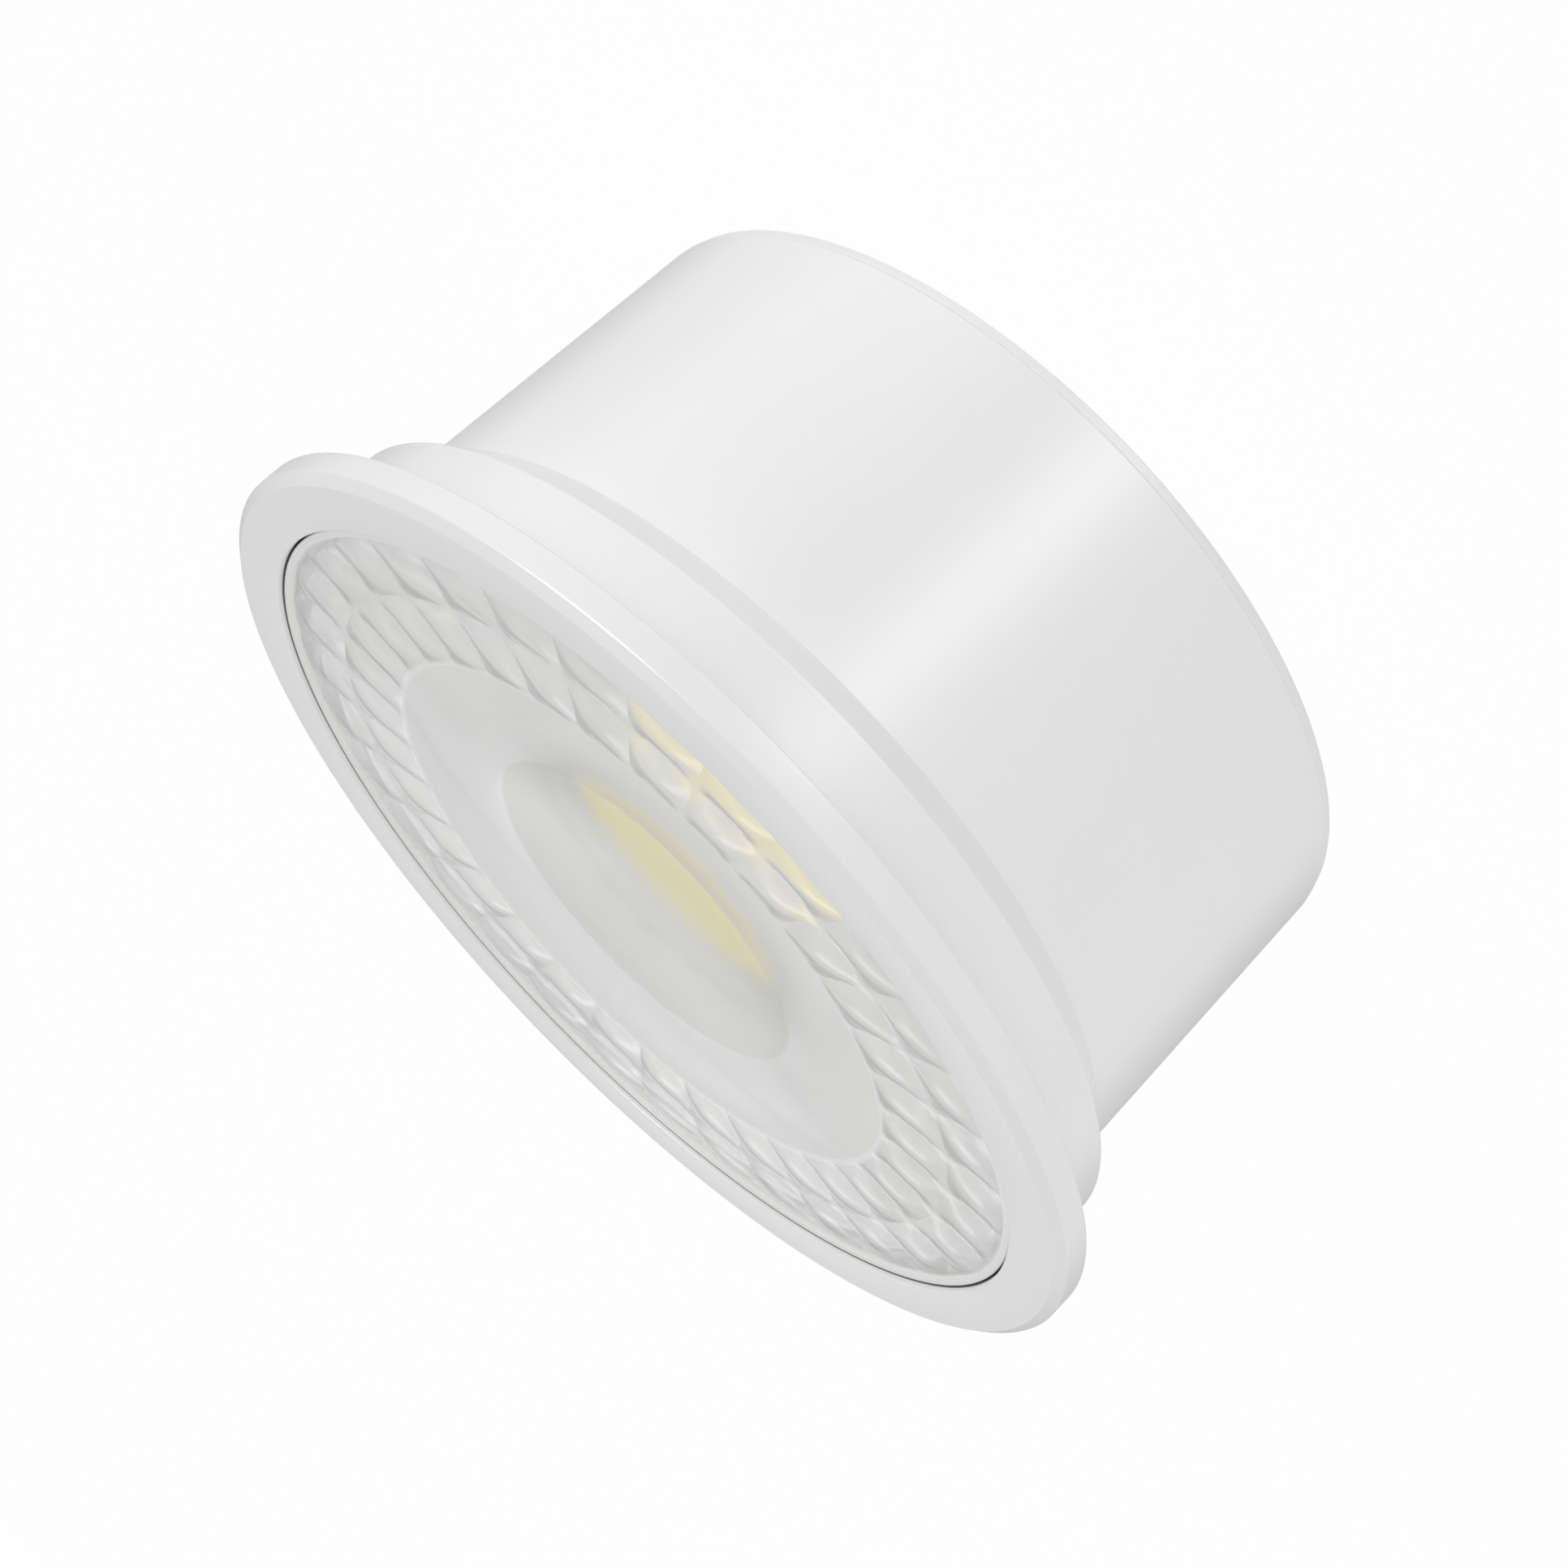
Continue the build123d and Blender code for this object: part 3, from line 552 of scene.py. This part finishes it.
def printedBoard(name, mask, copper, roughness, pourMm, gapMm, foilMm, soft=0.2):
    # glass-fibre board: wide copper pours read lighter and slightly raised under the glossy green mask
    material, tree = newMaterial(name)
    place = addNode(tree, "ShaderNodeTexCoord").outputs["Object"]
    flat = addNode(tree, "ShaderNodeVectorMath", {"operation": "MULTIPLY"}, {0: place, 1: (1, 1, 0)})
    pours = addNode(tree, "ShaderNodeTexVoronoi", {"feature": "DISTANCE_TO_EDGE"},
                    {"Vector": flat, "Scale": 1 / (pourMm * mm)})
    edge = gapMm / pourMm / 2
    raised = addNode(tree, "ShaderNodeMapRange", inputs={
        "Value": pours.outputs["Distance"], "From Min": edge * (1 - soft), "From Max": edge * (1 + soft)})
    shade = addNode(tree, "ShaderNodeMix", {"data_type": "RGBA"},
                    {"Factor": raised, "A": linearColour(mask), "B": linearColour(copper)})
    bump = addNode(tree, "ShaderNodeBump", inputs={
        "Height": raised, "Distance": foilMm * mm, "Strength": 1.0})
    shader = addNode(tree, "ShaderNodeBsdfPrincipled", inputs={
        "Base Color": shade, "Roughness": roughness, "Normal": bump})
    addNode(tree, "ShaderNodeOutputMaterial", inputs={"Surface": shader})
    return material


def tinnedEnds(node, name, colour, roughness, grainMm, axis, ends, mottle=0.15, bumpMm=0.004):
    # electronic part: a coloured body with a fine speckle, and bright tinned metal over its two ends along
    # the axis, which ends gives in mm, the lower one first
    low, high = (corner["XYZ".index(axis)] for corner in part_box(node))
    low, high = low + ends[0] * mm, high - ends[1] * mm
    material, tree = newMaterial(name)
    place = addNode(tree, "ShaderNodeTexCoord").outputs["Object"]
    along = addNode(tree, "ShaderNodeSeparateXYZ", inputs={0: place}).outputs[axis]
    off = addNode(tree, "ShaderNodeMath", {"operation": "SUBTRACT"}, {0: along, 1: (low + high) / 2})
    away = addNode(tree, "ShaderNodeMath", {"operation": "ABSOLUTE"}, {0: off})
    tip = addNode(tree, "ShaderNodeMath", {"operation": "GREATER_THAN"}, {0: away, 1: (high - low) / 2})
    grain = addNode(tree, "ShaderNodeTexNoise", inputs={
        "Vector": place, "Scale": 1 / (grainMm * mm), "Detail": 3.0})
    dark, light = shadesAround(colour, mottle)
    body = addNode(tree, "ShaderNodeMix", {"data_type": "RGBA"}, {"Factor": grain, "A": dark, "B": light})
    shade = addNode(tree, "ShaderNodeMix", {"data_type": "RGBA"},
                    {"Factor": tip, "A": body, "B": linearColour(tin["colour"])})
    polish = addNode(tree, "ShaderNodeMapRange", inputs={
        "Value": tip, "To Min": roughness, "To Max": tin["roughness"]})
    bump = addNode(tree, "ShaderNodeBump", inputs={
        "Height": grain, "Distance": bumpMm * mm, "Strength": 1.0})
    shader = addNode(tree, "ShaderNodeBsdfPrincipled", inputs={
        "Base Color": shade, "Metallic": tip, "Roughness": polish, "Normal": bump})
    addNode(tree, "ShaderNodeOutputMaterial", inputs={"Surface": shader})
    return material


# glass-filled tray and sleeve: dull black with a faintly streaky surface
blackTray = mouldedPlastic(
    "black glass-filled plastic", "#1B1C1E", roughness=0.5, grainMm=0.3, bumpMm=0.006, mottle=0.08)
cadFinish = {
    # screen-printed white mask: an even, half-matt white that lights the lens from below
    "led_board": mouldedPlastic(
        "white solder mask on aluminium", "#F6F6F3", roughness=0.4, grainMm=0.2, bumpMm=0.002),
    # poured bead: smooth, with the slight unevenness of a dispensed line
    "emitter_dam": mouldedPlastic(
        "white silicone, dispensed", "#F8F8F4", roughness=0.45, grainMm=0.5, bumpMm=0.004),
    # painted glow: the phosphor emits a faint light of its own colour though no lamp is lit, so it looks a
    # little brighter than it reflects; real phosphor turns some of the daylight's blue into yellow
    "emitter_phosphor": mouldedPlastic(
        "yellow phosphor in silicone", "#F3E236", roughness=0.4, grainMm=0.15, bumpMm=0.003, mottle=0.05,
        paintedGlow=0.45),
    # undyed nylon: a slightly grey, waxy white beside the board's
    "led_board_screws": mouldedPlastic(
        "natural white nylon, moulded", "#DEDEDA", roughness=0.45, grainMm=0.3, bumpMm=0.003, mottle=0.03),
    # soft sheet full of mineral powder: dull grey with visible grains
    "thermal_pad": mouldedPlastic(
        "grey filled silicone sheet", "#8C9094", roughness=0.7, grainMm=0.15, bumpMm=0.01, mottle=0.12),
    # bright turned cup: streaks of light across its fine rings
    "heat_sink": turnedMetal("aluminium, turned", "#C9CBCD", roughness=0.32, pitchMm=0.4, depthMm=0.006),
    "driver_tray": blackTray,
    "pin_sleeve": blackTray,
    # smooth bright wire
    "link_pins": turnedMetal("tin plate on brass wire", **tin, pitchMm=0.2, depthMm=0.001),
    "driver_board": printedBoard(
        "glass-fibre board, green mask", mask="#1A5030", copper="#22603A", roughness=0.35, pourMm=4.0,
        gapMm=0.3, foilMm=0.03),
    # moulded rubber: dull light grey with no hard highlight
    "cable_bush": mouldedPlastic(
        "light grey rubber, moulded", "#A9ABAC", roughness=0.6, grainMm=0.3, bumpMm=0.006),
    # smooth glossy box
    "film_capacitor": mouldedPlastic(
        "yellow capacitor box, moulded", "#D9B62C", roughness=0.35, grainMm=0.3, bumpMm=0.004, mottle=0.05),
    # sintered powder: charcoal grey, finely speckled
    "inductor_core": mouldedPlastic(
        "sintered ferrite", "#2B2A2A", roughness=0.55, grainMm=0.12, bumpMm=0.006, mottle=0.15),
    # the darker colour between the turns is painted shade in the creases
    "inductor_winding": woundWire(
        "enamelled copper wire", "#C06A34", between="#5E2A12", roughness=0.3, wireMm=0.35),
}
# moulded epoxy packages: near black and half matt, with bright legs at both sides
epoxyPackage = dict(colour="#1A1A1B", roughness=0.45, grainMm=0.2, axis="Y", ends=(0.98, 0.98))
tinnedParts = {
    "bridge_rectifier": dict(name="black epoxy rectifier, tinned legs", **epoxyPackage),
    "driver_chip": dict(name="black epoxy chip, tinned legs", **epoxyPackage),
    "output_diode": dict(name="black epoxy diode, tinned legs", **epoxyPackage),
    # black glaze over ceramic: glossier than the epoxy
    "sense_resistors": dict(name="glazed chip resistor", colour="#202124", roughness=0.3, grainMm=0.15,
                            axis="X", ends=(0.45, 0.45)),
    # fired ceramic: plain tan, half matt
    "chip_capacitors": dict(name="ceramic chip capacitor", colour="#A07A55", roughness=0.4, grainMm=0.15,
                            axis="X", ends=(0.45, 0.45)),
    # shrunk plastic sleeve: dark blue and glossy, with the can's bare aluminium at its ends
    "electrolytic_capacitor": dict(name="sleeved aluminium can", colour="#2E3546", roughness=0.3,
                                   grainMm=0.4, axis="Y", ends=(0.25, 0.25)),
    # dipped epoxy: glossy blue over the whole top, with bare wires below
    "varistor": dict(name="blue epoxy coating, tinned wires", colour="#20509A", roughness=0.3, grainMm=0.5,
                     axis="Z", ends=(0.6, -0.1)),
    # flameproof lacquer: grey green, half matt, with bare wires at both ends
    "input_fuse": dict(name="green lacquered resistor, tinned wires", colour="#3F6F58", roughness=0.4,
                       grainMm=0.3, axis="X", ends=(1.13, 1.13)),
}
cadFinish |= {node: tinnedEnds(node, **look) for node, look in tinnedParts.items()}
for nodeName, finish in cadFinish.items():
    nodes[nodeName].data.materials.clear()
    nodes[nodeName].data.materials.append(finish)

print("studio")
studio = dict(
    floorSize=4.0, floorColour="#F6F6F6", floorWhite=0.97,  # how much of the floor the camera sees as white
    zenith=0.5, horizon=1.7, fallPower=2.0,  # strength of the room light, and how fast it falls with height
    through=1.3, gloss=0.85, backdrop=1.0,  # strengths seen through the lens, in gloss and by the camera
)
# panels that only shine in gloss: middle azimuth, half width, lowest and highest elevation, soft edge,
# strength, where a negative strength is a dark flag
panels = [
    dict(azimuth=-85, half=8, low=-70, high=-24, soft=3, strength=5.2),
    dict(azimuth=-15, half=30, low=-90, high=20, soft=14, strength=1.2),
    dict(azimuth=101, half=5, low=20, high=27, soft=2, strength=0.8),
    dict(azimuth=95, half=45, low=-30, high=10, soft=5, strength=-0.55),
    dict(azimuth=95, half=45, low=26, high=55, soft=8, strength=0.6),
    dict(azimuth=20, half=35, low=55, high=78, soft=6, strength=1.0),
]


def whiteCard(s):
    # white card: white to the camera, and it still takes the object's soft shadow
    material, tree = newMaterial("white card")
    rays = addNode(tree, "ShaderNodeLightPath")
    white = addNode(tree, "ShaderNodeEmission", inputs={"Color": (1, 1, 1, 1), "Strength": 1.0})
    card = addNode(tree, "ShaderNodeBsdfDiffuse", inputs={"Color": linearColour(s["floorColour"])})
    share = addNode(tree, "ShaderNodeMath", {"operation": "MULTIPLY"},
                    {0: rays.outputs["Is Camera Ray"], 1: s["floorWhite"]})
    mix = addNode(tree, "ShaderNodeMixShader", inputs={"Fac": share, 1: card, 2: white})
    addNode(tree, "ShaderNodeOutputMaterial", inputs={"Surface": mix})
    return material


floorMesh = bpy.data.meshes.new("floor")
reach = studio["floorSize"] / 2
floorMesh.from_pydata([(-reach, -reach, 0), (reach, -reach, 0), (reach, reach, 0), (-reach, reach, 0)], [],
                      [(0, 1, 2, 3)])
floorMesh.materials.append(whiteCard(studio))
floor = bpy.data.objects.new("floor", floorMesh)
floor.visible_glossy = False
scene.collection.objects.link(floor)


def studioWorld(s, glossPanels):
    # soft room light that falls off towards the ceiling, with panels that only gloss reflects
    world = bpy.data.worlds.new("studio")
    world.use_nodes = True
    tree = world.node_tree
    tree.nodes.clear()
    way = addNode(tree, "ShaderNodeTexCoord").outputs["Generated"]
    x, y, z = addNode(tree, "ShaderNodeSeparateXYZ", inputs={0: way}).outputs
    level = addNode(tree, "ShaderNodeMath", {"operation": "MAXIMUM"}, {0: z, 1: 0.0})
    low = addNode(tree, "ShaderNodeMath", {"operation": "SUBTRACT"}, {0: 1.0, 1: level})
    fall = addNode(tree, "ShaderNodeMath", {"operation": "POWER"}, {0: low, 1: s["fallPower"]})
    room = addNode(tree, "ShaderNodeMath", {"operation": "MULTIPLY_ADD"},
                   {0: fall, 1: s["horizon"] - s["zenith"], 2: s["zenith"]})
    azimuth = addNode(tree, "ShaderNodeMath", {"operation": "ARCTAN2"}, {0: y, 1: x})
    height = addNode(tree, "ShaderNodeMath", {"operation": "ARCSINE"}, {0: z})
    gloss = s["gloss"]
    for p in glossPanels:
        middle, halfHeight = radians(p["low"] + p["high"]) / 2, radians(p["high"] - p["low"]) / 2
        soft = radians(p["soft"])
        turned = addNode(tree, "ShaderNodeMath", {"operation": "SUBTRACT"},
                         {0: azimuth, 1: radians(p["azimuth"])})
        across = addNode(tree, "ShaderNodeMath", {"operation": "WRAP"}, {0: turned, 1: pi, 2: -pi})
        up = addNode(tree, "ShaderNodeMath", {"operation": "SUBTRACT"}, {0: height, 1: middle})
        light = p["strength"]
        for off, size in ((across, radians(p["half"])), (up, halfHeight)):
            away = addNode(tree, "ShaderNodeMath", {"operation": "ABSOLUTE"}, {0: off})
            share = addNode(tree, "ShaderNodeMapRange", {"interpolation_type": "SMOOTHSTEP"}, {
                "Value": away, "From Min": size - soft, "From Max": size + soft,
                "To Min": 1.0, "To Max": 0.0})
            light = addNode(tree, "ShaderNodeMath", {"operation": "MULTIPLY"}, {0: share, 1: light})
        gloss = addNode(tree, "ShaderNodeMath", {"operation": "ADD"}, {0: light, 1: gloss})
    rays = addNode(tree, "ShaderNodeLightPath")
    strength = room
    seenBy = {"Is Transmission Ray": s["through"], "Is Glossy Ray": gloss, "Is Camera Ray": s["backdrop"]}
    for ray, value in seenBy.items():
        strength = addNode(tree, "ShaderNodeMix", {"data_type": "FLOAT"},
                           {"Factor": rays.outputs[ray], "A": strength, "B": value})
    sky = addNode(tree, "ShaderNodeBackground", inputs={"Color": (1, 1, 1, 1), "Strength": strength})
    addNode(tree, "ShaderNodeOutputWorld", inputs={"Surface": sky})
    return world


def softbox(name, place, towards, size, power, hiddenFrom):
    # rectangular area lamp that shines along towards, and that some kinds of ray don't see
    light = bpy.data.lights.new(name, "AREA")
    light.shape = "RECTANGLE"
    light.size, light.size_y = (side * mm for side in size)
    light.energy = power
    lamp = bpy.data.objects.new(name, light)
    lamp.location = place * mm
    lamp.rotation_euler = towards.to_track_quat("-Z", "Y").to_euler()
    for ray in hiddenFrom:
        setattr(lamp, "visible_" + ray, False)
    scene.collection.objects.link(lamp)
    return lamp


scene.world = studioWorld(studio, panels)

keyLamp = dict(place=(620, -280, 120), aim=(0, 0, 12), size=(500, 500), power=0.55)
keyPlace = Vector(keyLamp["place"])
softbox("keySoftbox", keyPlace, Vector(keyLamp["aim"]) - keyPlace, keyLamp["size"], keyLamp["power"],
        hiddenFrom=("camera", "glossy"))

# a small softbox beside the flange, seen only in the housing's gloss, draws the fine bright line along the
# flange's rounded edge
edgeLamp = dict(rimDeg=-62, rimRadius=25.0, rimHeight=22.9, azimuthDeg=-34, elevationDeg=29, away=60,
                size=(30, 40), power=0.055)
rimAngle, azimuth, elevation = (radians(edgeLamp[k]) for k in ("rimDeg", "azimuthDeg", "elevationDeg"))
onRim = Vector((edgeLamp["rimRadius"] * cos(rimAngle), edgeLamp["rimRadius"] * sin(rimAngle),
                edgeLamp["rimHeight"]))
toLamp = Vector((cos(elevation) * cos(azimuth), cos(elevation) * sin(azimuth), sin(elevation)))
edgeSoftbox = softbox("edgeSoftbox", onRim + toLamp * edgeLamp["away"], -toLamp, edgeLamp["size"],
                      edgeLamp["power"], hiddenFrom=("camera", "diffuse", "transmission"))
edgeSoftbox.light_linking.receiver_collection = bpy.data.collections.new("edge softbox receivers")
edgeSoftbox.light_linking.receiver_collection.objects.link(housingPiece)

print("camera")
view = dict(
    place=(10.724, -135.822, 63.473), aim=(-0.211, -0.017, 13.289), rollDeg=-133.643,
    focalMm=73.836, sensorMm=36.0, clipMm=5.0,
)
cameraData = bpy.data.cameras.new("camera")
cameraData.sensor_width = view["sensorMm"]
cameraData.lens = view["focalMm"]
cameraData.clip_start = view["clipMm"] * mm
camera = bpy.data.objects.new("camera", cameraData)
camera.location = Vector(view["place"]) * mm
look = (Vector(view["aim"]) - Vector(view["place"])).to_track_quat("-Z", "Y")
camera.rotation_mode = "QUATERNION"
camera.rotation_quaternion = look @ Quaternion((0, 0, 1), radians(view["rollDeg"]))
scene.collection.objects.link(camera)
scene.camera = camera
scene.view_settings.view_transform = "Standard"
